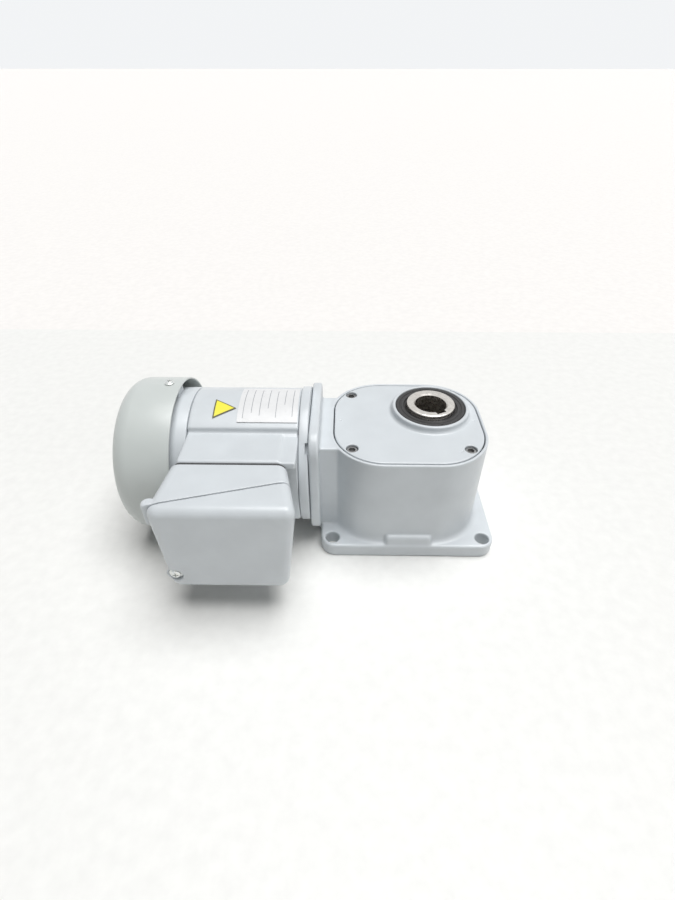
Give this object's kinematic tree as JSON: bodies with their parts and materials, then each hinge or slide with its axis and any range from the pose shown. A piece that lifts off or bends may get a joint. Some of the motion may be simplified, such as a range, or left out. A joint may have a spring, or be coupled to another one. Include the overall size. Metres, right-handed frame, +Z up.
{
  "type": "worm gearmotor",
  "caption": "Right-angle gearmotor: a foot-mounted gear case with a keyed hollow output shaft, a round motor with a fan cover, and a terminal box on its side.",
  "frame": {"origin": "bottom centre of the whole object's box, at the height of the foot's underside", "axes": "+X from the motor's fan end to the gear case, +Y away from the terminal box, +Z up along the hollow output shaft"},
  "size_m": [0.288, 0.1732, 0.1236],
  "materials": {
    "bronze": "machined bronze",
    "cast": "as cast",
    "copper": "varnished copper wire",
    "cover_paint": "grey-green paint on pressed steel",
    "gasket": "dark fibre and rubber sheet",
    "label": "white film with faint rules, no text",
    "laminate": "stacked sheet, dark",
    "paint": "light blue-grey gloss paint on die-cast aluminium",
    "plastic": "moulded",
    "plug": "brown rubber",
    "rubber": "black nitrile",
    "steel": "machined and ground, lightly oiled",
    "yellow": "yellow film with a dark border",
    "zinc": "zinc plated"
  },
  "bodies": {
    "root": {"box_cover_screw": "zinc", "case_cover": "paint", "conduit_plug": "plug", "cover_gasket": "gasket", "cover_screw_1": "zinc", "cover_screw_2": "zinc", "cover_screw_3": "zinc", "cover_screw_4": "zinc", "fan_cover": "cover_paint", "fan_cover_screw_1": "zinc", "fan_cover_screw_2": "zinc", "fan_cover_screw_3": "zinc", "front_bracket": "paint", "front_motor_bearing_outer_ring": "steel", "front_winding": "copper", "gear_case": "paint", "input_seal": "rubber", "lower_mid_bearing_outer_ring": "steel", "lower_output_bearing_outer_ring": "steel", "lower_output_seal": "rubber", "motor_bolt_1": "zinc", "motor_bolt_2": "zinc", "motor_bolt_3": "zinc", "motor_bolt_4": "zinc", "motor_frame": "paint", "rating_plate": "label", "rear_bracket": "paint", "rear_motor_bearing_outer_ring": "steel", "rear_winding": "copper", "stator_core": "laminate", "terminal_block": "plastic", "terminal_box_base": "paint", "terminal_box_cover": "paint", "terminal_box_gasket": "gasket", "upper_mid_bearing_outer_ring": "steel", "upper_output_bearing_outer_ring": "steel", "upper_output_seal": "rubber", "warning_plate": "yellow", "wave_washer": "steel"},
    "motor_rotor": {"motor_shaft": "steel", "worm": "steel", "rotor_core": "laminate", "cooling_fan": "plastic", "fan_circlip": "steel", "front_motor_bearing_inner_ring": "steel", "rear_motor_bearing_inner_ring": "steel"},
    "intermediate": {"intermediate_shaft": "steel", "worm_wheel": "bronze", "wheel_key": "steel", "lower_mid_bearing_inner_ring": "steel", "upper_mid_bearing_inner_ring": "steel"},
    "output": {"output_shaft": "steel", "output_gear": "cast", "gear_key": "steel", "lower_output_bearing_inner_ring": "steel", "upper_output_bearing_inner_ring": "steel"}
  },
  "joints": [
    {"name": "motor_spin", "type": "hinge", "parent": "root", "child": "motor_rotor", "pos_m": [-0.05, 0.0217, 0.0608], "axis": [1, 0, 0], "continuous": true},
    {"name": "intermediate_spin", "type": "hinge", "parent": "root", "child": "intermediate", "pos_m": [0.0519, 0.0477, 0.05], "axis": [0, 0, 1], "continuous": true},
    {"name": "output_spin", "type": "hinge", "parent": "root", "child": "output", "pos_m": [0.09235, 0.0396, 0.05], "axis": [0, 0, 1], "continuous": true}
  ],
  "couplings": [
    {"joint": "intermediate_spin", "follows": "motor_spin", "ratio": -0.041667},
    {"joint": "output_spin", "follows": "motor_spin", "ratio": 0.015625}
  ]
}
